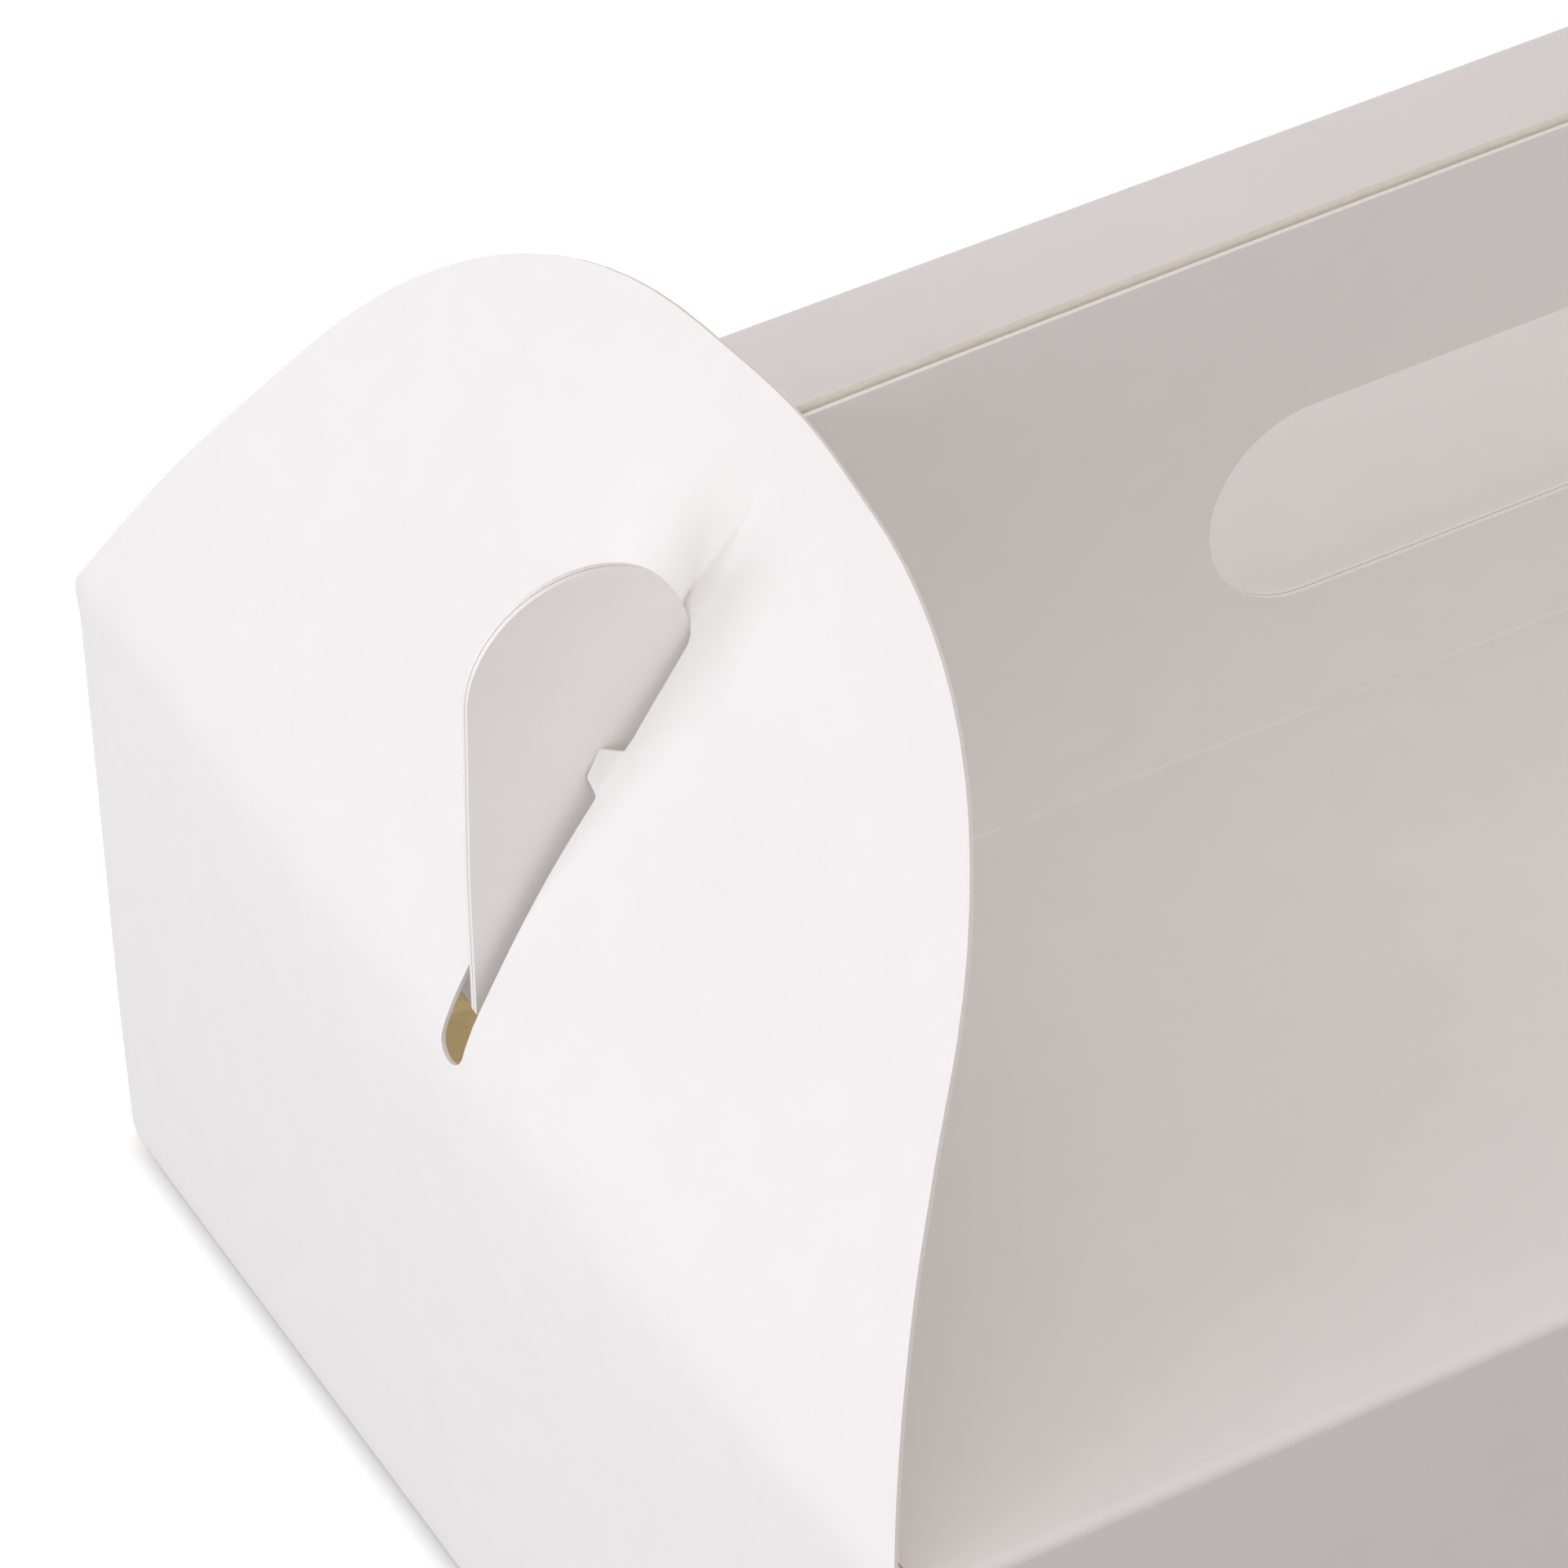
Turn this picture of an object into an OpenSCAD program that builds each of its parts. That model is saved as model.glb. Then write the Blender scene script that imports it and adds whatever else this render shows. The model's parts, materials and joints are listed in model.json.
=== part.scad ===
// Pastry box with handle, folded and glued from one sheet of white board.
// Origin: middle of the underside. X runs along the handle, Y across it, Z up.
// The end at -X is the left end. Both ends are alike.

/* [Board] */
// Thickness of the board
board_t = 0.45; // [0.35:0.05:0.6]
// Outside radius of the upright corner folds
corner_r = 1.6; // [1:0.1:3]

/* [Tray] */
// Length of the box, along the handle
box_l = 234; // [200:1:320]
// Width of the box, across the handle
box_w = 160; // [140:1:220]
// Height of the long walls, up to the roof folds
wall_h = 79; // [76:1:120]
// Distance of the end flaps' folds below the roof folds
end_fold_drop = 1; // [0.8:0.1:3]
// Width of the tabs glued inside the end walls
glue_tab_w = 18; // [10:1:30]
// Distance of the glued tabs' tops below the roof fold
glue_tab_drop = 2; // [1:0.5:10]

/* [Roof] */
// Rise of each roof panel from its wall to the handle fold
roof_rise = 3.6; // [3:0.1:12]
// Distance of the roof panels' ends from the end walls' outer faces
roof_inset = 1; // [1:0.1:3]
// Length of each cut through the handle fold
fold_cut_l = 10; // [5:1:14]
// Width of each cut through the handle fold
fold_cut_w = 0.5; // [0.3:0.1:1]
// Spacing of the cuts along the handle fold
fold_cut_pitch = 36; // [30:1:45]
// Number of cuts along each handle fold
fold_cut_n = 4; // [2:1:4]

/* [Handle] */
// Height of the handle above its fold
handle_h = 58.4; // [54:0.1:80]
// Radius of the grip's upper corners
grip_corner_r = 2.5; // [1:0.5:6]
// Gap between the two handle layers
layer_gap = 0.3; // [0.1:0.1:0.4]
// Length of the hand hole
hole_l = 76; // [60:1:90]
// Height of the hand hole
hole_h = 23; // [18:1:28]
// Height of the hand hole's centre above the handle fold
hole_rise = 25.4; // [20:0.1:30]

/* [Hooks] */
// Distance of the hooks' straight ends from the end walls' outer faces
hook_inset = 0.6; // [0.6:0.1:1]
// Width of each hook, which is also the diameter of its round head
hook_w = 22.6; // [18:0.2:23]
// Height of the top of the hooks above the handle fold
hook_h = 49.2; // [44:0.1:50]

/* [End flaps] */
// Length of each end flap along the board, from its fold to its tip
flap_len = 71.5; // [66:0.5:75]
// Width of each end flap at its fold
flap_base_w = 157; // [120:1:157]
// Width of each end flap at its tip, before its corners are rounded
flap_tip_w = 91; // [80:1:120]
// Radius of the end flaps' corners
flap_corner_r = 48; // [30:1:50]
// Angle of the closed flap at its fold, from the floor
flap_lean = 85; // [82:0.5:88]
// Angle of the closed flap at its tip, from the floor
flap_slope = 52.5; // [48:0.5:58]
// Radius of the closed flap's bend, at mid thickness
flap_bend_r = 60.9; // [54:0.1:66]
// Distance of each flap's folding axis outside its end wall
hinge_out = 0.5; // [0.4:0.1:0.8]

/* [Slots] */
// Width of the slot that each hook passes through
slot_w = 4; // [3:0.1:6]
// Height of the centre of the slot's round lower end above the flap's fold
slot_rise = 1.4; // [1:0.1:2]
// Width of the narrow cut at the top of the slot
slit_w = 2; // [2:0.1:3]
// Height of the top of the slot's wide part above the middle of the hook's head
slot_wide_rise = 2; // [0:0.5:4]

/* [Clearances] */
// Gap between an end wall's upper edge and its flap's folding axis
fold_gap = 0.35; // [0.3:0.05:0.6]
// Gap between the folding axis and the lower edge of the flap
flap_gap = 0.4; // [0.35:0.05:0.6]
// Gap between the flap's inner face and the handle's edge below it
notch_gap = 0.9; // [0.6:0.1:1.5]
// Gap between the flap's tip and the end of the grip
grip_gap = 0.6; // [0.4:0.1:3]
// Room that the slot leaves past the hook's far edge as the flap swings
swing_gap = 0.5; // [0.4:0.1:1]

/* [Hidden] */
$fn = 96;

// More than any size of the box, for cutters that run right through
far = 400;
half_l = box_l / 2;
half_w = box_w / 2;
ridge_z = wall_h + roof_rise;
top_z = ridge_z + handle_h;
layer_y = layer_gap / 2;
hook_r = hook_w / 2;

// The points below are [x, z] on the left end, in the upright plane along the handle
wall_x = -half_l;
hinge = [wall_x - hinge_out, wall_h - end_fold_drop];
head = [wall_x + hook_inset + hook_r, ridge_z + hook_h - hook_r];
bend_c = hinge + flap_bend_r * [sin(flap_lean), -cos(flap_lean)];
bend_end = bend_c + flap_bend_r * [-sin(flap_slope), cos(flap_slope)];
flap_dir = [cos(flap_slope), sin(flap_slope)];
straight_len = flap_len - flap_bend_r * (flap_lean - flap_slope) * PI / 180;
tip = bend_end + straight_len * flap_dir;
grip_x = tip[0] + board_t / 2 * sin(flap_slope) + grip_gap;

// Farthest reach of the hook from the folding axis, and where the slot has to run to let it pass
hook_reach = norm(head - hinge) + hook_r;
reach_along = (bend_end - hinge) * flap_dir;
reach_aside = (bend_end - hinge) * (bend_end - hinge) - pow(hook_reach + swing_gap, 2);
slit_end = bend_end + (sqrt(pow(reach_along, 2) - reach_aside) - reach_along) * flap_dir;

// Height of the closed flap's middle plane above a point of its straight part
function flap_z(x) = bend_end[1] + (x - bend_end[0]) * tan(flap_slope);

// Two copies, as they are and mirrored to the other end
module both_ends() {
    children();
    mirror([1, 0, 0]) children();
}

// Two copies, as they are and mirrored to the other side
module both_sides() {
    children();
    mirror([0, 1, 0]) children();
}

// Flat outline of a rectangle with four round corners, centred
module rounded_plan(l, w, r) {
    square([l - 2 * r, w], center = true);
    square([l, w - 2 * r], center = true);
    for (sx = [-1, 1])
        for (sy = [-1, 1])
            translate([sx * (l / 2 - r), sy * (w / 2 - r)])
                circle(r = r);
}

// Four walls, open above and below. The end walls stop just below the flaps' folds.
module walls() {
    difference() {
        linear_extrude(height = wall_h)
            difference() {
                rounded_plan(box_l, box_w, corner_r);
                rounded_plan(box_l - 2 * board_t, box_w - 2 * board_t, corner_r - board_t);
            }
        both_ends()
            translate([-half_l - far / 2 + roof_inset, -far / 2, hinge[1] - fold_gap])
                cube([far / 2, far, far / 2]);
    }
}

// Base panel
module base_panel() {
    linear_extrude(height = board_t)
        rounded_plan(box_l, box_w, corner_r);
}

// Tab of the long wall, glued flat to the inside of the end wall, with a sloping top
module glue_tab() {
    inner_x = wall_x + board_t;
    inner_y = half_w - board_t;
    translate([inner_x, 0, 0])
        rotate([90, 0, 90])
            linear_extrude(height = board_t)
                polygon([
                    [inner_y, board_t],
                    [inner_y, wall_h - glue_tab_drop],
                    [inner_y - glue_tab_w, wall_h - glue_tab_drop - glue_tab_w],
                    [inner_y - glue_tab_w, board_t]
                ]);
}

// Roof panel from the long wall up to the handle fold, with the cuts that ease the fold
module roof_panel() {
    panel_l = box_l - 2 * roof_inset;
    difference() {
        translate([-panel_l / 2, 0, 0])
            rotate([90, 0, 90])
                linear_extrude(height = panel_l)
                    polygon([
                        [half_w, wall_h - board_t],
                        [half_w, wall_h],
                        [layer_y, ridge_z],
                        [layer_y, ridge_z - board_t]
                    ]);
        for (i = [0 : fold_cut_n - 1])
            translate([
                (i - (fold_cut_n - 1) / 2) * fold_cut_pitch - fold_cut_l / 2,
                layer_y + board_t,
                ridge_z - far / 2
            ])
                cube([fold_cut_l, fold_cut_w, far]);
    }
}

// Outline of one hook, in [x, z]: an upright tab with a round head
module hook_outline() {
    translate([head[0] - hook_r, ridge_z - board_t])
        square([hook_w, head[1] - ridge_z + board_t]);
    translate(head)
        circle(r = hook_r);
}

// Outline of the board below the closed flap, from the hook to the grip
module throat_outline() {
    below = (board_t / 2 + notch_gap) / cos(flap_slope);
    polygon([
        [head[0], ridge_z - board_t],
        [grip_x + grip_corner_r, ridge_z - board_t],
        [grip_x + grip_corner_r, flap_z(grip_x) - below],
        [grip_x, flap_z(grip_x) - below],
        [head[0], flap_z(head[0]) - below]
    ]);
}

// Outline of half the grip, in [x, z], with its round upper corner
module grip_outline() {
    translate([grip_x, ridge_z - board_t])
        square([-grip_x + board_t, handle_h + board_t - grip_corner_r]);
    translate([grip_x + grip_corner_r, ridge_z - board_t])
        square([-grip_x - grip_corner_r + board_t, handle_h + board_t]);
    translate([grip_x + grip_corner_r, top_z - grip_corner_r])
        circle(r = grip_corner_r);
}

// Outline of the hand hole, in [x, z]
module hand_hole_outline() {
    hole_end = (hole_l - hole_h) / 2;
    translate([-hole_end, ridge_z + hole_rise - hole_h / 2])
        square([2 * hole_end, hole_h]);
    for (s = [-1, 1])
        translate([s * hole_end, ridge_z + hole_rise])
            circle(r = hole_h / 2);
}

// One upright layer of the handle, with the hooks at its ends
module handle_layer() {
    translate([0, layer_y + board_t, 0])
        rotate([90, 0, 0])
            linear_extrude(height = board_t)
                difference() {
                    both_ends() {
                        hook_outline();
                        throat_outline();
                        grip_outline();
                    }
                    hand_hole_outline();
                }
}

// Folded sheet: base, walls, roof and the two handle layers
module carton() {
    color([0.91, 0.9, 0.88])
        union() {
            walls();
            base_panel();
            both_ends()
                both_sides()
                    glue_tab();
            both_sides() {
                roof_panel();
                handle_layer();
            }
        }
}

// Side view of the closed flap on the left end, in [x, z]: a bend, then a straight part
module flap_profile() {
    start_turn = flap_gap / flap_bend_r * 180 / PI;
    first = 90 + flap_lean - start_turn;
    last = 90 + flap_slope;
    intersection() {
        translate(bend_c)
            difference() {
                circle(r = flap_bend_r + board_t / 2, $fn = 180);
                circle(r = flap_bend_r - board_t / 2, $fn = 180);
            }
        polygon([
            bend_c,
            bend_c + far * [cos(first), sin(first)],
            bend_c + far * [cos(last), sin(last)]
        ]);
    }
    translate(bend_end)
        rotate(flap_slope)
            translate([-board_t, -board_t / 2])
                square([straight_len + board_t, board_t]);
}

// Outline of the flap seen from its end, in [y, z]: a trapezoid with two large round corners
module flap_outline() {
    tip_z = tip[1] + board_t;
    side_angle = atan2(tip_z - hinge[1], (flap_tip_w - flap_base_w) / 2);
    tangent_len = flap_corner_r * tan((180 - side_angle) / 2);
    corner_y = flap_tip_w / 2 - tangent_len;
    side_y = flap_tip_w / 2 - tangent_len * cos(side_angle);
    side_z = tip_z - tangent_len * sin(side_angle);
    polygon([
        [-flap_base_w / 2, hinge[1]],
        [flap_base_w / 2, hinge[1]],
        [side_y, side_z],
        [corner_y, tip_z],
        [-corner_y, tip_z],
        [-side_y, side_z]
    ]);
    intersection() {
        for (s = [-1, 1])
            translate([s * corner_y, tip_z - flap_corner_r])
                circle(r = flap_corner_r, $fn = 180);
        translate([-far / 2, hinge[1]])
            square([far, far]);
    }
}

// Outline of the slot seen from the end, in [y, z]: round below, with a narrow cut above
module slot_outline() {
    low_z = hinge[1] + slot_rise;
    wide_z = head[1] + slot_wide_rise;
    narrow_z = wide_z + (slot_w - slit_w) / 2;
    translate([0, low_z])
        circle(d = slot_w);
    polygon([
        [-slot_w / 2, low_z],
        [slot_w / 2, low_z],
        [slot_w / 2, wide_z],
        [slit_w / 2, narrow_z],
        [-slit_w / 2, narrow_z],
        [-slot_w / 2, wide_z]
    ]);
    translate([-slit_w / 2, low_z])
        square([slit_w, slit_end[1] - low_z]);
    translate([0, slit_end[1]])
        circle(d = slit_w);
}

// End flap as it stands closed on the left end, with its hook through the slot
module end_flap() {
    intersection() {
        translate([0, half_w, 0])
            rotate([90, 0, 0])
                linear_extrude(height = box_w)
                    flap_profile();
        translate([wall_x - far / 2, 0, 0])
            rotate([90, 0, 90])
                linear_extrude(height = far)
                    difference() {
                        flap_outline();
                        slot_outline();
                    }
    }
}

module end_flap_left() {
    color([0.97, 0.96, 0.96])
        end_flap();
}

module end_flap_right() {
    color([0.97, 0.96, 0.96])
        mirror([1, 0, 0])
            end_flap();
}

carton();
end_flap_left();
end_flap_right();
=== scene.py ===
# %% [markdown]
# A pastry box with a handle is one sheet of thin white board: cut by a die, creased, folded and glued
# at four corners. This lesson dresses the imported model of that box. The frame gives the solids at
# their real size; the sheets built here take their place, with real folds, cut edges and a finish.

# %% Load the frame
import json
import math

import bpy
import numpy as np
from mathutils import Matrix, Vector, geometry


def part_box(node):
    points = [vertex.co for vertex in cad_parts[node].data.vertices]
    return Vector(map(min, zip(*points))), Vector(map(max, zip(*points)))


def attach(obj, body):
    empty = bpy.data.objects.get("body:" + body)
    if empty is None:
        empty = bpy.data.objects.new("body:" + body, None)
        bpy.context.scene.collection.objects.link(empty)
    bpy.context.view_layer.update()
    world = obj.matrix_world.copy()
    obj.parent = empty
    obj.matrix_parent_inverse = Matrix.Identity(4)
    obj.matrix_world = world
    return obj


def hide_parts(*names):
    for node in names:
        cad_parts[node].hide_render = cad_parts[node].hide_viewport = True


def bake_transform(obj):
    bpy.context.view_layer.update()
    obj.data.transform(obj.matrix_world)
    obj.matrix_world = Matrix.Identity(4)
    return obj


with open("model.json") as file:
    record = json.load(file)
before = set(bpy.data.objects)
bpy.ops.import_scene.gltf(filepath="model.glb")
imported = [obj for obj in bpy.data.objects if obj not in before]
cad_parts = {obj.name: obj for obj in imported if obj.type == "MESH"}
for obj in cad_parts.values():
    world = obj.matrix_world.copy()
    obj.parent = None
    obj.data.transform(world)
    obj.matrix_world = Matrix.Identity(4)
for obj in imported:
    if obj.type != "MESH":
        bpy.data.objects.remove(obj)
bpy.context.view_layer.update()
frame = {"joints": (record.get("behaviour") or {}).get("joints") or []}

MM = 0.001

# %% [markdown]
# Every measure below is in millimetres. The overall sizes are read from the frame, so the sheets
# always fit the solids that they replace. The others are the sizes of the folds and cuts: where the
# roof and the handle fold, how far each hook reaches, how the end flap leans and bends.

# %% Measures of the box
carton_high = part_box("carton")[1]
half_l = carton_high[0] / MM
half_w = carton_high[1] / MM
top_z = carton_high[2] / MM
board = 0.45
mid = board / 2

wall_h = 79.0
roof_rise = 3.6
ridge_z = wall_h + roof_rise
roof_end = half_l - 1.0
layer_y = 0.265
hook_r = 11.3
hook_end = half_l - 0.6
hook_in = hook_end - 2 * hook_r
hook_top = ridge_z + 49.2
hole_half_l = 38.0
hole_half_h = 11.0
hole_z = ridge_z + 26.2
fold_cut_pitch = 36.0
fold_cuts = [(i - 1.5) * fold_cut_pitch for i in range(4)]
fold_cut_half = 5.0
fold_cut_w = 0.12

left_fold = frame["joints"][0]
hinge_z = left_fold["pos_m"][2] / MM
flap_slope = math.radians(55)
tip_z = 140.5

# %% [markdown]
# A die cuts the blank as a flat outline whose corners are rounded. The helpers below draw such an
# outline from its sharp corners and a radius for each, the way a draughtsman would: the arc starts and
# ends where it touches the two edges. Holes are outlines too.

# %% Helpers: rounded corners and outlines
def corner_arc(before, here, after, radius, steps=None, step_deg=6.0):
    """Points of the arc that rounds the corner at here, and the angle through which it turns."""
    back = before - here
    ahead = after - here
    back /= np.linalg.norm(back)
    ahead /= np.linalg.norm(ahead)
    opening = math.acos(float(np.clip(back @ ahead, -1, 1)))
    reach = radius / math.tan(opening / 2)
    middle = (back + ahead) / np.linalg.norm(back + ahead)
    centre = here + middle * radius / math.sin(opening / 2)
    start = here + back * reach - centre
    end = here + ahead * reach - centre
    turn = math.atan2(start[0] * end[1] - start[1] * end[0], start @ end)
    steps = steps or max(2, round(abs(math.degrees(turn)) / step_deg))
    points = []
    for k in range(steps + 1):
        a = turn * k / steps
        c, s = math.cos(a), math.sin(a)
        points.append(centre + np.array([c * start[0] - s * start[1], s * start[0] + c * start[1]]))
    return points, turn


def rounded(corners, step_deg=6.0):
    """Closed outline as an array of points; each corner is (a, b) or (a, b, radius)."""
    places = [np.array(corner[:2], float) for corner in corners]
    count = len(corners)
    points = []
    for i, corner in enumerate(corners):
        radius = corner[2] if len(corner) > 2 else 0.0
        if radius <= 0:
            points.append(places[i])
            continue
        arc, _ = corner_arc(places[i - 1], places[i], places[(i + 1) % count], radius, None, step_deg)
        points.extend(arc)
    return np.array(points)


def inside(points, outline):
    """True for each point that lies inside the closed outline."""
    x, y = points[:, 0], points[:, 1]
    hit = np.zeros(len(points), bool)
    for (x0, y0), (x1, y1) in zip(outline, np.roll(outline, -1, axis=0)):
        if y0 == y1:
            continue
        crosses = (y0 > y) != (y1 > y)
        hit ^= crosses & (x < x0 + (y - y0) * (x1 - x0) / (y1 - y0))
    return hit


sample_square = rounded([(0, 0, 2), (10, 0, 2), (10, 10, 2), (0, 10, 2)])
print("a 10 mm square with rounded corners has", len(sample_square), "points")
print("its middle is inside it:", bool(inside(np.array([[5.0, 5.0]]), sample_square)[0]))


# %% [markdown]
# Board bends only along its creases, so the flat blank is covered with a grid whose lines are close
# together across each crease and wide apart elsewhere. The outline is cut at every grid line, so that
# the edge of the board follows the bends too.

# %% Helper: a flat mesh of the blank
def grid_lines(stops, wide, bends=(), close=0.35):
    """Grid positions from the first to the last stop; close ones across each bend (from, to)."""
    marks = set(stops)
    for a, b in bends:
        marks.update(np.linspace(a, b, max(3, round((b - a) / close)) + 1))
    marks = sorted(marks)
    lines = []
    for a, b in zip(marks, marks[1:]):
        n = max(1, round((b - a) / wide))
        lines.extend(a + (b - a) * np.arange(n) / n)
    return np.array(lines + [marks[-1]])


def cut_at_grid(outline, rows, columns, apart=0.2):
    """The outline with a point wherever it crosses a grid line, none closer than apart."""
    cut = []
    for p, q in zip(outline, np.roll(outline, -1, axis=0)):
        length = max(float(np.linalg.norm(q - p)), 1e-9)
        gap = apart / length
        stops = []
        for axis, lines in ((0, rows), (1, columns)):
            span = q[axis] - p[axis]
            if abs(span) < 1e-6:
                continue
            t = (lines - p[axis]) / span
            stops.extend(t[(t > gap) & (t < 1 - gap)])
        cut.append(p)
        last = 0.0
        for t in sorted(stops):
            if t - last > gap:
                cut.append(p + (q - p) * t)
                last = t
    return np.array(cut)


def flat_mesh(outline, holes, rows, columns, margin=0.12):
    """Points and triangles of a flat sheet with the given outline and holes."""
    rings = [cut_at_grid(o, rows, columns) for o in [outline] + list(holes)]
    grid = np.array([(a, b) for a in rows for b in columns])
    keep = inside(grid, rings[0])
    for ring in rings[1:]:
        keep &= ~inside(grid, ring)
    grid = grid[keep]
    border = np.vstack(rings)
    clear = np.ones(len(grid), bool)
    for start in range(0, len(grid), 4000):
        part = grid[start:start + 4000]
        nearest = np.min(np.linalg.norm(part[:, None] - border[None], axis=2), axis=1)
        clear[start:start + 4000] = nearest > margin
    grid = grid[clear]
    points = np.vstack([border, grid])
    edges, first = [], 0
    for ring in rings:
        n = len(ring)
        edges.extend((first + i, first + (i + 1) % n) for i in range(n))
        first += n
    made = geometry.delaunay_2d_cdt([Vector(p) for p in points], edges, [], 0, 1e-5)
    flat = np.array([tuple(v) for v in made[0]])
    faces = np.array([f for f in made[2] if len(f) == 3])
    centres = flat[faces].mean(axis=1)
    keep = inside(centres, outline)
    for hole in holes:
        keep &= ~inside(centres, hole)
    return flat, faces[keep]


print("grid lines over 10 mm with a crease from 4 to 5 mm:", len(grid_lines([0, 10], 4.0, [(4, 5)])))


# %% [markdown]
# The folded surface has no thickness yet. The next helper gives it the board's 0.45 mm, half to each
# side along the surface's own normals, and closes it with the narrow cut edge all round. The coated
# outside, the bare inside and the cut edge become three finishes of one solid.

# %% Helper: board with a thickness
OUTSIDE, INSIDE, EDGE = 0, 1, 2


def vertex_normals(points, faces):
    """A smooth normal at each point: the faces round it, each counting by its area."""
    a, b, c = (points[faces[:, k]] for k in range(3))
    flat = np.cross(b - a, c - a)
    total = np.zeros_like(points)
    for k in range(3):
        np.add.at(total, faces[:, k], flat)
    return total / np.maximum(np.linalg.norm(total, axis=1, keepdims=True), 1e-12)


def rim_normals(points, normals, rim, corner=0.7):
    """A normal at each end of each rim edge, away from the sheet; sharp only at real corners."""
    out = np.array([np.cross(points[j] - points[i], normals[i] + normals[j]) for i, j in rim])
    out /= np.maximum(np.linalg.norm(out, axis=1, keepdims=True), 1e-12)
    starts = {i: k for k, (i, j) in enumerate(rim)}
    ends = {j: k for k, (i, j) in enumerate(rim)}
    pairs = []
    for k, (i, j) in enumerate(rim):
        before, after = out[ends[i]], out[starts[j]]
        first = out[k] + before if out[k] @ before > corner else out[k]
        second = out[k] + after if out[k] @ after > corner else out[k]
        pairs.append((first / np.linalg.norm(first), second / np.linalg.norm(second)))
    return pairs


def board_piece(name, points, faces, finishes):
    """A closed solid of board round the surface given in mm; the faces' front is the coated side."""
    normals = vertex_normals(points, faces)
    n = len(points)
    directed = {(f[i], f[(i + 1) % 3]) for f in faces.tolist() for i in range(3)}
    rim = sorted((i, j) for (i, j) in directed if (j, i) not in directed)
    solid = np.vstack([points + normals * mid, points - normals * mid]) * MM
    polygons = [tuple(f) for f in faces.tolist()]
    polygons += [tuple(f[::-1] + n) for f in faces]
    polygons += [(j, i, i + n, j + n) for i, j in rim]
    mesh = bpy.data.meshes.new(name)
    mesh.from_pydata(solid.tolist(), [], [tuple(int(v) for v in p) for p in polygons])
    count = len(faces)
    slots = np.array([OUTSIDE] * count + [INSIDE] * count + [EDGE] * len(rim), dtype=np.int32)
    mesh.polygons.foreach_set("material_index", slots)
    mesh.polygons.foreach_set("use_smooth", np.ones(len(slots), bool))
    for finish in finishes:
        mesh.materials.append(finish)
    mesh.update()
    shading = [normals[v] for f in faces for v in f] + [-normals[v] for f in faces for v in f[::-1]]
    for first, second in rim_normals(points, normals, rim):
        shading += [second, first, first, second]
    mesh.normals_split_custom_set([tuple(v) for v in shading])
    piece = bpy.data.objects.new(name, mesh)
    bpy.context.scene.collection.objects.link(piece)
    print(name, ":", len(solid), "points,", len(polygons), "faces")
    return piece


# %% [markdown]
# White carton board is coated on the outside with fine clay, which is smooth, bright and only a little
# glossy. The bare back is buff, with darker fibres in it. A cut edge shows the pulp between the two.
# Each finish is a Principled shader with noise at the scale of the real thing.

# %% Helpers: shader nodes
def new_material(name):
    material = bpy.data.materials.new(name)
    material.use_nodes = True
    nodes = material.node_tree.nodes
    return material, nodes, material.node_tree.links, nodes["Principled BSDF"]


def noise_node(nodes, links, scale, detail, stretch=(1, 1, 1)):
    """Noise in the object's own metres; a larger stretch packs it closer along that axis."""
    place = nodes.new("ShaderNodeTexCoord")
    mapping = nodes.new("ShaderNodeMapping")
    mapping.inputs["Scale"].default_value = stretch
    noise = nodes.new("ShaderNodeTexNoise")
    noise.inputs["Scale"].default_value = scale
    noise.inputs["Detail"].default_value = detail
    links.new(place.outputs["Object"], mapping.inputs["Vector"])
    links.new(mapping.outputs["Vector"], noise.inputs["Vector"])
    return noise.outputs["Fac"]


NOISE_LOW, NOISE_HIGH = 0.3, 0.7


def between(nodes, links, factor, dark, light):
    """A colour that goes from dark to light over the range in which noise mostly lies."""
    ramp = nodes.new("ShaderNodeValToRGB")
    ramp.color_ramp.elements[0].position = NOISE_LOW
    ramp.color_ramp.elements[1].position = NOISE_HIGH
    ramp.color_ramp.elements[0].color = (*dark, 1)
    ramp.color_ramp.elements[1].color = (*light, 1)
    links.new(factor, ramp.inputs["Fac"])
    return ramp.outputs["Color"]


def scaled(nodes, links, factor, low, high):
    """A number that goes from low to high over the range in which noise mostly lies."""
    span = nodes.new("ShaderNodeMapRange")
    span.inputs["From Min"].default_value = NOISE_LOW
    span.inputs["From Max"].default_value = NOISE_HIGH
    span.inputs["To Min"].default_value = low
    span.inputs["To Max"].default_value = high
    links.new(factor, span.inputs["Value"])
    return span.outputs["Result"]


def add_bump(nodes, links, shader, height, depth_mm):
    bump = nodes.new("ShaderNodeBump")
    bump.inputs["Strength"].default_value = 1.0
    bump.inputs["Distance"].default_value = depth_mm * MM
    links.new(height, bump.inputs["Height"])
    links.new(bump.outputs["Normal"], shader.inputs["Normal"])


# %% Finishes of the board
def coated_board():
    material, nodes, links, shader = new_material("white_coated_board")
    mottle = noise_node(nodes, links, 160, 3)
    grain = noise_node(nodes, links, 2600, 4)
    links.new(between(nodes, links, mottle, (0.863, 0.856, 0.85), (0.877, 0.87, 0.864)),
              shader.inputs["Base Color"])
    links.new(scaled(nodes, links, grain, 0.42, 0.56), shader.inputs["Roughness"])
    shader.inputs["Specular IOR Level"].default_value = 0.35
    add_bump(nodes, links, shader, grain, 0.006)
    return material


def bare_board():
    material, nodes, links, shader = new_material("bare_board_back")
    fibres = noise_node(nodes, links, 900, 5, (1, 3, 3))
    links.new(between(nodes, links, fibres, (0.8, 0.77, 0.7), (0.87, 0.845, 0.79)),
              shader.inputs["Base Color"])
    shader.inputs["Roughness"].default_value = 0.85
    shader.inputs["Specular IOR Level"].default_value = 0.2
    add_bump(nodes, links, shader, fibres, 0.02)
    return material


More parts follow.
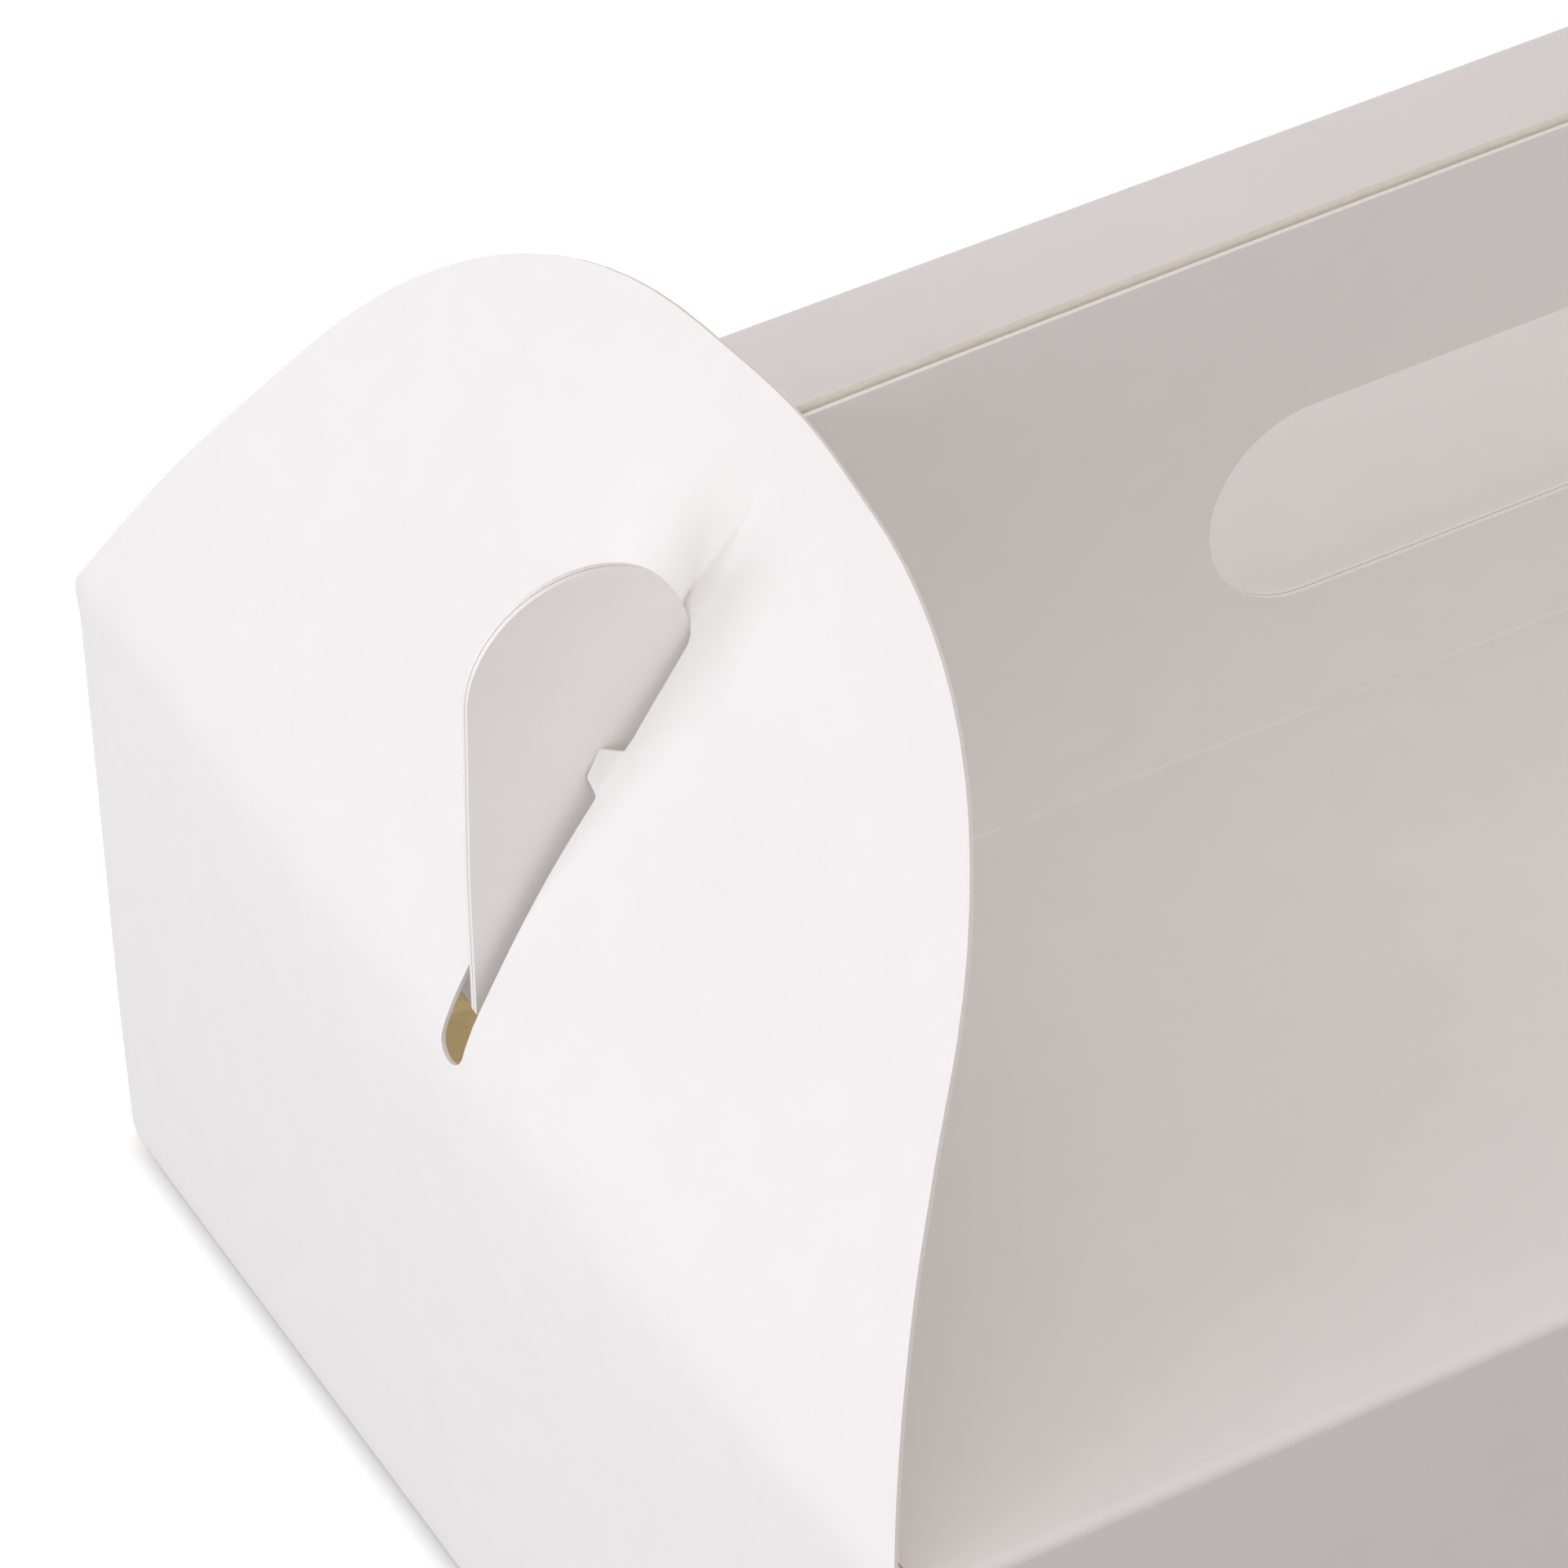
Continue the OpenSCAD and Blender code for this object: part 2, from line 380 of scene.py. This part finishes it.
def cut_board():
    material, nodes, links, shader = new_material("cut_board_edge")
    pulp = noise_node(nodes, links, 3500, 4)
    links.new(between(nodes, links, pulp, (0.86, 0.85, 0.83), (0.93, 0.92, 0.9)),
              shader.inputs["Base Color"])
    shader.inputs["Roughness"].default_value = 0.8
    shader.inputs["Specular IOR Level"].default_value = 0.2
    add_bump(nodes, links, shader, pulp, 0.03)
    return material


finishes = [coated_board(), bare_board(), cut_board()]
print("finishes:", ", ".join(finish.name for finish in finishes))

# %% [markdown]
# Seen from the end, half of the folded sheet is one path: along the base, up the long wall, in along the
# roof and up the handle. The path is drawn from its corners, with a small radius at each fold, and then
# any distance along the sheet can be looked up on it.

# %% The path of the folded sheet, from the middle of the base to the top of the handle
def fold_path(corners, radii, arc_steps=8):
    """Distances along the path, the path's points, and the stretch that each fold takes."""
    places = [np.array(corner, float) for corner in corners]
    points = [places[0]]
    for i, radius in enumerate(radii, start=1):
        arc, _ = corner_arc(places[i - 1], places[i], places[i + 1], radius, arc_steps)
        points.extend(arc)
    points.append(places[-1])
    points = np.array(points)
    along = np.concatenate([[0], np.cumsum(np.linalg.norm(np.diff(points, axis=0), axis=1))])
    stretches = []
    for i in range(len(radii)):
        first = 1 + i * (arc_steps + 1)
        stretches.append((along[first], along[first + arc_steps]))
    return along, points, stretches


fold_radii = [1.0, 1.1, 0.7]
sheet_along, sheet_path, sheet_bends = fold_path(
    [(0, mid), (half_w - mid, mid), (half_w - mid, wall_h - mid),
     (layer_y, ridge_z - mid), (layer_y, top_z)],
    fold_radii,
)
base_bend, roof_bend, handle_bend = sheet_bends
sheet_len = sheet_along[-1]
print("half of the sheet, from base to handle top:", round(sheet_len, 1), "mm")


def sheet_at_height(z):
    """Distance along the sheet of a height on the handle."""
    return sheet_len - (top_z - z)


# %% [markdown]
# The handle layer's outline has a hook at each end, a hand hole, and a throat between hook and grip
# where the end flap lies. The throat runs just under the flap, so it is worked out from the flap's own
# line: how far the end panel lies out from the end wall at each height, in its middle and at its edge.

# %% Lines of the end flap and sizes of the glued tabs
panel_z = [0.0, 20.0, 40.0, 60.0, 72.0, 79.0, 83.0, 88.0, 100.0, 110.0, 122.0, 140.5]
middle_out = [-0.2, 1.0, 2.2, 3.2, 3.3, 2.5, 1.3, -1.2, -8.2, -15.5, -24.5, -35.1]
edge_out = [-0.3, 0.3, 0.6, 0.9, 1.1, 1.2, -0.1, -1.9, -6.6, -11.0, -17.8, -29.1]
throat_gap = 1.9


def throat_z(x):
    """Height of the throat's edge under the closed left flap at a place along the box."""
    flap = slice(5, None)
    return float(np.interp(x + half_l, [-out for out in middle_out[flap]], panel_z[flap])) - throat_gap


grip_end = 82.2
throat_steps = np.linspace(-grip_end, -hook_in, 4)[1:-1]
tab_l = 17.5
tab_turn_r = 0.8
tab_bend_x = half_l - board - mid
tab_start = base_bend[1] + 0.6
tab_end = roof_bend[0] - 2.0
base_half_l = half_l - 3.0
print("throat of the handle, height at the grip:", round(throat_z(-grip_end), 1), "mm")

# %% [markdown]
# The outline is drawn for one quarter of the blank, as distances along the sheet and places along the
# box, and the other three are the same with the signs changed. The hand hole is a long hole with round
# ends, and four short cuts weaken the handle's fold so that it bends in a straight line.

# %% Outline of the flat sheet
def sheet_side(x):
    """One end's outline from the base's fold to the handle's top, as (along, x); x is 1 or -1."""
    return [
        (base_bend[0] - 0.3, x * base_half_l),
        (base_bend[0] - 0.3, x * (tab_bend_x - 1.2)),
        (tab_start, x * (tab_bend_x - 1.2)),
        (tab_start, x * (tab_bend_x + tab_l), 2.0),
        (tab_end - tab_l, x * (tab_bend_x + tab_l), 2.0),
        (tab_end, x * (tab_bend_x + 0.6), 0.4),
        (tab_end, x * roof_end),
        (sheet_at_height(ridge_z + 0.9), x * roof_end, 0.3),
        (sheet_at_height(ridge_z + 0.9), x * (hook_end + 0.5), 0.3),
        (sheet_at_height(ridge_z + 18), x * (hook_end + 0.6), 30.0),
        (sheet_at_height(hook_top), x * hook_end, hook_r - 0.1),
        (sheet_at_height(hook_top), x * hook_in, hook_r - 0.01),
        (sheet_at_height(throat_z(-hook_in)), x * hook_in, 0.5),
        *[(sheet_at_height(throat_z(at)), -x * at) for at in throat_steps[::-1]],
        (sheet_at_height(throat_z(-grip_end)), x * grip_end, 0.8),
        (sheet_at_height(top_z), x * grip_end, 0.7),
    ]


def both_halves(points):
    """The same outline on the front half, where distances along the sheet are negative."""
    return [(-p[0],) + tuple(p[1:]) for p in points]


rear_side = sheet_side(-1) + sheet_side(1)[::-1]
front_side = both_halves(sheet_side(1)) + both_halves(sheet_side(-1))[::-1]
sheet_outline = rounded(rear_side + front_side, 7.5)


def stadium(along_mid, half_long, half_high):
    """A long hole with round ends."""
    r = half_high - 0.001
    return rounded([(along_mid - half_high, -half_long, r), (along_mid - half_high, half_long, r),
                    (along_mid + half_high, half_long, r), (along_mid + half_high, -half_long, r)], 6)


sheet_holes = []
for side in (1, -1):
    sheet_holes.append(stadium(side * sheet_at_height(hole_z), hole_half_l, hole_half_h))
    for x in fold_cuts:
        near = side * (handle_bend[0] + 0.75 * (handle_bend[1] - handle_bend[0]))
        far = near - side * fold_cut_w
        sheet_holes.append(np.array([(near, x - fold_cut_half), (near, x + fold_cut_half),
                                     (far, x + fold_cut_half), (far, x - fold_cut_half)]))
print("outline of the sheet:", len(sheet_outline), "points,", len(sheet_holes), "holes and cuts")

# %% [markdown]
# Folding is a function: give it a place on the flat sheet and it gives the place on the box. It first
# follows the path seen from the end, then turns the glued tabs round the corner, and last adds what
# real board does, such as the rear handle layer standing off a little at its top.

# %% Folding the sheet
layer_splay = 0.4
splay_from = 18.0
splay_h = 40
top_flare = 0.6
flare_h = 1.5
ridge_sag = 2.4
handle_lean = 0.2
grip_end_drop = 0.75
grip_fade = 8


def smooth(t):
    """0 below 0, 1 above 1 and a soft step between."""
    t = np.clip(t, 0, 1)
    return t * t * (3 - 2 * t)


def fold_sheet(flat):
    """Takes points of the flat sheet, as (along, x), to their places on the folded box."""
    side = np.where(flat[:, 0] < 0, -1.0, 1.0)
    along = np.abs(flat[:, 0])
    y = np.interp(along, sheet_along, sheet_path[:, 0])
    z = np.interp(along, sheet_along, sheet_path[:, 1])
    x = flat[:, 1].copy()
    past = np.abs(x) - (tab_bend_x - tab_turn_r)
    on_tab = (past > 0) & (along > base_bend[1] + 0.2) & (along < tab_end + 0.3)
    turn = np.clip(past / tab_turn_r, 0, math.pi / 2)
    straight = np.maximum(past - tab_turn_r * math.pi / 2, 0)
    end = np.sign(x)
    x = np.where(on_tab, end * (tab_bend_x - tab_turn_r + tab_turn_r * np.sin(turn)), x)
    y = np.where(on_tab, y - tab_turn_r * (1 - np.cos(turn)) - straight, y)
    up = np.clip((z - ridge_z) / (top_z - ridge_z), 0, 1)
    grip = smooth((grip_end + grip_fade - np.abs(x)) / grip_fade)
    on_handle = along > handle_bend[1]
    apart = layer_splay * smooth((z - ridge_z - splay_from) / splay_h)
    apart = apart + top_flare * np.clip((z - top_z + flare_h) / flare_h, 0, 1) ** 2
    y = y + np.where(on_handle & (side > 0), apart * grip, 0)
    midway = np.clip(1 - (x / half_l) ** 2, 0, 1)
    sag = ridge_sag * midway * np.clip((z - wall_h) / (ridge_z - wall_h), 0, 1) * (1 - up)
    z = z - np.where(along > roof_bend[0], sag, 0) - grip_end_drop * (x / grip_end) ** 2 * up ** 2 * grip
    across = side * y + np.where(on_handle, handle_lean * midway * up, 0)
    return np.column_stack([x, across, z])


# %% [markdown]
# The flat sheet is now meshed and folded. Its faces are turned so that their front is the outside of the
# box, which is where the coated side of the board is.

# %% The folded sheet
rows_half = grid_lines([0, base_bend[0], base_bend[1], tab_start, tab_end, roof_bend[0], roof_bend[1],
                        handle_bend[0], handle_bend[1], sheet_len],
                       4.0, [base_bend, roof_bend, handle_bend, (sheet_len - flare_h, sheet_len)], 0.3)
sheet_rows = np.concatenate([-rows_half[:0:-1], rows_half])
tab_turn = (tab_bend_x - tab_turn_r, tab_bend_x + 0.5)
columns_half = grid_lines([0, hook_in, roof_end, tab_turn[0], tab_turn[1], tab_bend_x + tab_l],
                          4.0, [tab_turn], 0.3)
sheet_columns = np.concatenate([-columns_half[:0:-1], columns_half])
flat, faces = flat_mesh(sheet_outline, sheet_holes, sheet_rows, sheet_columns)
folded = fold_sheet(flat)


def face_outward(points, faces, seed_point, outward):
    """Turns the faces so that the one nearest the seed point faces along outward."""
    centres = points[faces].mean(axis=1)
    k = int(np.argmin(np.linalg.norm(centres - np.array(seed_point), axis=1)))
    a, b, c = points[faces[k]]
    if np.cross(b - a, c - a) @ np.array(outward) < 0:
        return faces[:, ::-1]
    return faces


faces = face_outward(folded, faces, (0, 0, mid), (0, 0, -1))
folded_sheet = board_piece("folded_sheet", folded, faces, finishes)
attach(folded_sheet, "box")
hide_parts("carton")

# %% [markdown]
# The end wall and its flap are one panel. Its crease was made for folding inward over the roof, and once
# the hook holds the flap the board bends in a wide curve and not at a sharp line, so the panel is made
# as one smooth surface: a height and a place across the box give how far out the board lies.

# %% Outline of an end panel, as (across, height)
panel_half_w = half_w - 0.1
flap_edge = [(panel_half_w, 77.7, 4.0), (77.5, 81.9, 8.0), (69.5, 97.1, 133.0), (44.5, tip_z, 50.3)]
slot_half = 2.0
slot_low = 78.9
slot_top = 120.6
slot_tip = 122.0
tongue = [(-slot_half, 106.2), (-0.8, 107.2, 0.4), (-0.6, 109.6, 0.4), (-slot_half, 110.4, 0.1)]

right_edge = [(panel_half_w - 4, -2.5), (panel_half_w - 4, 0.4, 0.3), (panel_half_w, 1.2, 3.0)] + flap_edge
left_edge = [(-corner[0],) + tuple(corner[1:]) for corner in right_edge[::-1]]
panel_outline = rounded(right_edge + left_edge, 4)
slot_outline = rounded([
    (-slot_half, slot_low, slot_half - 0.05), (slot_half, slot_low, slot_half - 0.05),
    (slot_half, slot_top, 1.5), (0.3, slot_tip, 0.2), (-0.1, slot_tip, 0.15),
    (-1.3, 119.6, 1.2), (-1.6, 115.0, 8.0), *tongue[::-1],
], 12)
print("outline of an end panel:", len(panel_outline), "points; slot:", len(slot_outline), "points")

# %% [markdown]
# The panel's shape has four parts: the smooth bend through the heights listed above, a curl across the
# tip, a soft lip where the hook has pushed the board up above the slot, and the small tongue at the
# slot's side, bent up by the hook. The foot of the panel turns in to meet the base in a tight curve.

# %% The shape of an end panel
tip_curl = 1.7
tip_curl_w = 15
tip_curl_z = 105
tip_curl_h = 25
lip_rise = 2.0
lip_z = 119.5
lip_end_z = 122.5
lip_fade = 14
lip_w = 12.0
lip_step_w = 0.9
tongue_rise = 2.0
tongue_z = 105.6
tongue_end_z = 110.3
foot_r = 1.0


def smooth_curve(at, knots, values):
    """A smooth curve through the knots, with the slope at each knot taken from its neighbours."""
    knots, values = np.array(knots), np.array(values)
    slopes = np.gradient(values, knots)
    i = np.clip(np.searchsorted(knots, at, side="right") - 1, 0, len(knots) - 2)
    step = knots[i + 1] - knots[i]
    t = np.clip((at - knots[i]) / step, 0, 1)
    return ((2 * t ** 3 - 3 * t ** 2 + 1) * values[i] + (t ** 3 - 2 * t ** 2 + t) * step * slopes[i]
            + (3 * t ** 2 - 2 * t ** 3) * values[i + 1] + (t ** 3 - t ** 2) * step * slopes[i + 1])


def panel_x(y, z):
    """How far along the box the left panel's middle surface lies, at rest."""
    edge = smooth_curve(z, panel_z, edge_out)
    middle = smooth_curve(z, panel_z, middle_out)
    out = edge + (middle - edge) * np.clip(1 - (y / panel_half_w) ** 2, 0, 1)
    curl = tip_curl * (1 - np.exp(-(y / tip_curl_w) ** 2))
    return -half_l - out - curl * smooth((z - tip_curl_z) / tip_curl_h)


def fold_panel(flat):
    """Takes points of the flat panel, as (across, height), to their places on the box."""
    y, q = flat[:, 0].copy(), flat[:, 1]
    wall_x = -half_l + mid
    arc_top = foot_r * math.pi / 2
    angle = np.clip((arc_top - q) / foot_r, 0, math.pi / 2)
    scale = (tip_z - mid - foot_r) / (tip_z - arc_top)
    z = np.where(q > arc_top, mid + foot_r + (q - arc_top) * scale, mid + foot_r * (1 - np.sin(angle)))
    x = panel_x(y, z)
    x = np.where(q <= arc_top, wall_x + foot_r * (1 - np.cos(angle)) - np.minimum(q, 0), x)
    lips = smooth((z - lip_z) / 3.5) * (1 - smooth((z - lip_end_z) / lip_fade))
    lift = lip_rise * lips * np.where(y > 0, np.exp(-y / lip_w), np.exp(y / lip_step_w))
    at_tongue = smooth(z - tongue_z) * (1 - smooth(z - tongue_end_z)) * (np.abs(y + 1.5) < 1.5)
    lift = lift + tongue_rise * at_tongue * np.clip((y + 2.7) / 2.2, 0, 1) ** 2
    return np.column_stack([x - lift * math.sin(flap_slope), y, z + lift * math.cos(flap_slope)])


# %% [markdown]
# One flat panel serves for both ends: the right one is its mirror image.

# %% The two end panels
across_half = grid_lines([0, 0.15, 0.3, 0.5, 0.8, 1.2, 1.7, 2.3, 3, 4, 5, 6.5, panel_half_w], 2.6)
panel_rows = np.concatenate([-across_half[:0:-1], across_half])
panel_columns = grid_lines([-2.5, 0, 1.6, hinge_z - 3, hinge_z + 4, tip_z], 2.2,
                           [(0, 1.6), (hinge_z - 3, hinge_z + 4), (105.4, 111.4)], 0.5)
flat, faces = flat_mesh(panel_outline, [slot_outline], panel_rows, panel_columns, 0.5)


def end_panel(name, mirror, node):
    """An end panel that takes the place of the flap's node."""
    points = fold_panel(flat)
    turned = face_outward(points, faces, (-half_l, 40, 40), (-1, 0, 0))
    if mirror:
        points = points * np.array([-1, 1, 1])
        turned = turned[:, ::-1]
    piece = board_piece(name, points, turned, finishes)
    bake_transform(piece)
    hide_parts(node)
    return piece


end_panel("left_end_panel", False, "end_flap_left")
end_panel("right_end_panel", True, "end_flap_right")

# %% [markdown]
# The box stands on a plain table. To the camera, directly or in a reflection, the table adds light of its
# own, enough to look white where nothing shades it; scattered light meets only its plain grey. Within 2.5
# mm of the box, ambient occlusion darkens that glow. This paints a thin shadow along the foot of the
# walls, on top of the faint real shadow in the grey.

# %% Table
table_base = 0.32
table_glow = 0.79
# How much of the glow the painted shadow under the walls takes away, and how far from the box it reaches
# in mm.
painted_shadow_share = 0.77
painted_shadow_reach = 2.5
table_radius = 6.0


def straight_to_the_eye(nodes, links):
    """1 for camera rays and for what they show in a mirror or through glass, otherwise 0."""
    path = nodes.new("ShaderNodeLightPath")
    total = path.outputs["Is Camera Ray"]
    for kind in ("Is Glossy Ray", "Is Transmission Ray"):
        either = nodes.new("ShaderNodeMath")
        either.operation = "MAXIMUM"
        links.new(total, either.inputs[0])
        links.new(path.outputs[kind], either.inputs[1])
        total = either.outputs[0]
    return total


def table_material():
    material, nodes, links, shader = new_material("table_white")
    shader.inputs["Base Color"].default_value = (table_base, table_base, table_base, 1)
    shader.inputs["Roughness"].default_value = 0.9
    shader.inputs["Specular IOR Level"].default_value = 0.0
    shader.inputs["Emission Color"].default_value = (1, 1, 1, 1)
    # Ambient occlusion darkens the glow near the box: a painted shadow along the foot of the walls.
    painted_shadow_ao = nodes.new("ShaderNodeAmbientOcclusion")
    painted_shadow_ao.samples = 16
    painted_shadow_ao.inputs["Distance"].default_value = painted_shadow_reach * MM
    glow_with_painted_shadow = nodes.new("ShaderNodeMath")
    glow_with_painted_shadow.operation = "MULTIPLY_ADD"
    glow_with_painted_shadow.inputs[1].default_value = table_glow * painted_shadow_share
    glow_with_painted_shadow.inputs[2].default_value = table_glow * (1 - painted_shadow_share)
    links.new(painted_shadow_ao.outputs["AO"], glow_with_painted_shadow.inputs[0])
    glow = nodes.new("ShaderNodeMath")
    glow.operation = "MULTIPLY"
    links.new(glow_with_painted_shadow.outputs[0], glow.inputs[0])
    links.new(straight_to_the_eye(nodes, links), glow.inputs[1])
    links.new(glow.outputs[0], shader.inputs["Emission Strength"])
    return material


bpy.ops.mesh.primitive_circle_add(vertices=96, radius=table_radius, fill_type="NGON",
                                  location=(0, 0, 0))
table_top = bpy.context.object
table_top.name = "table_top"
table_top.data.materials.append(table_material())
print("table radius:", table_radius, "m")

# %% [markdown]
# The end of the box is almost white and its long side clearly grey, so most light comes low from the
# left, in the plane of the handle: the hook then throws no shadow to either side. One very weak lamp is
# inside the box: thin board lets some light through, which shows in the slot as a warm glow on the bare
# back of the board.

# %% Light
def soft_lamp(name, at, aim, size, power, colour):
    data = bpy.data.lights.new(name, "AREA")
    data.shape = "DISK"
    data.size = size
    data.energy = power
    data.color = colour
    lamp = bpy.data.objects.new(name, data)
    lamp.location = at
    lamp.rotation_euler = (Vector(aim) - Vector(at)).to_track_quat("-Z", "Y").to_euler()
    bpy.context.scene.collection.objects.link(lamp)
    return lamp


box_middle = (0, 0, 0.07)
warm = (1.0, 0.929, 0.909)
soft_lamp("key_lamp", (-1.0, 0.0, 0.22), box_middle, 0.8, 5.9, (0.936, 0.945, 1.0))
soft_lamp("top_lamp", (0.0, 0.0, 1.8), box_middle, 1.1, 2.2, warm)
soft_lamp("front_lamp", (0.0, -1.5, 0.9), box_middle, 1.1, 3.1, warm)
soft_lamp("rear_lamp", (-0.2, 1.5, 0.9), box_middle, 1.1, 2.6, warm)
inner_lamp = soft_lamp("inner_lamp", (-0.03, 0.0, 0.06), (-0.03, 0.0, 0.0), 0.06, 0.045,
                       (1.0, 0.79, 0.48))
inner_lamp.visible_camera = False
lamps = [thing.name for thing in bpy.context.scene.objects if thing.type == "LIGHT"]
print("lamps:", ", ".join(lamps))

# %% [markdown]
# The world has two colours. The light that it gives is soft and slightly warm, from all sides; what the
# camera sees of it, directly or in a reflection, is plain white.

# %% World
around_strength = 0.57
world = bpy.data.worlds.new("studio")
bpy.context.scene.world = world
world.use_nodes = True
world_nodes, world_links = world.node_tree.nodes, world.node_tree.links
around = world_nodes["Background"]
around.inputs["Color"].default_value = (*warm, 1)
around.inputs["Strength"].default_value = around_strength
white = world_nodes.new("ShaderNodeBackground")
white.inputs["Color"].default_value = (1, 1, 1, 1)
white.inputs["Strength"].default_value = 1.0
pick = world_nodes.new("ShaderNodeMixShader")
world_links.new(straight_to_the_eye(world_nodes, world_links), pick.inputs["Fac"])
world_links.new(around.outputs[0], pick.inputs[1])
world_links.new(white.outputs[0], pick.inputs[2])
world_links.new(pick.outputs[0], world_nodes["World Output"].inputs["Surface"])
bpy.context.scene.view_settings.view_transform = "Standard"
print("light from all round:", around_strength, "; white for the camera: 1.0")

# %% [markdown]
# The photograph looks down on the left end from the front left. The camera's place, turn and focal
# length were worked out from the box's straight edges in the picture, 1920 pixels square.

# %% Camera
picture_px = 1920
focal_px = 10482.0
view_azimuth, view_elevation, view_roll = -29.654, 41.998, -0.478
camera_at = (-0.375222, -0.511795, 0.627131)

camera_data = bpy.data.cameras.new("camera")
sensor_mm = 36.0
camera_data.sensor_width = sensor_mm
camera_data.lens = sensor_mm * focal_px / picture_px
camera_data.clip_start = 0.01
camera_data.clip_end = 50
camera = bpy.data.objects.new("camera", camera_data)
az, el, roll = (math.radians(a) for a in (view_azimuth, view_elevation, view_roll))
ahead = Vector((-math.sin(az) * math.cos(el), math.cos(az) * math.cos(el), -math.sin(el)))
right = Vector((math.cos(az), math.sin(az), 0))
up = right.cross(ahead)
camera_right = right * math.cos(roll) + up * math.sin(roll)
camera_up = -right * math.sin(roll) + up * math.cos(roll)
camera.matrix_world = Matrix.Translation(camera_at) @ Matrix(
    (camera_right, camera_up, -ahead)).transposed().to_4x4()
bpy.context.scene.collection.objects.link(camera)
bpy.context.scene.camera = camera
print("camera lens:", round(camera_data.lens, 1), "mm, looking down by", view_elevation, "degrees")
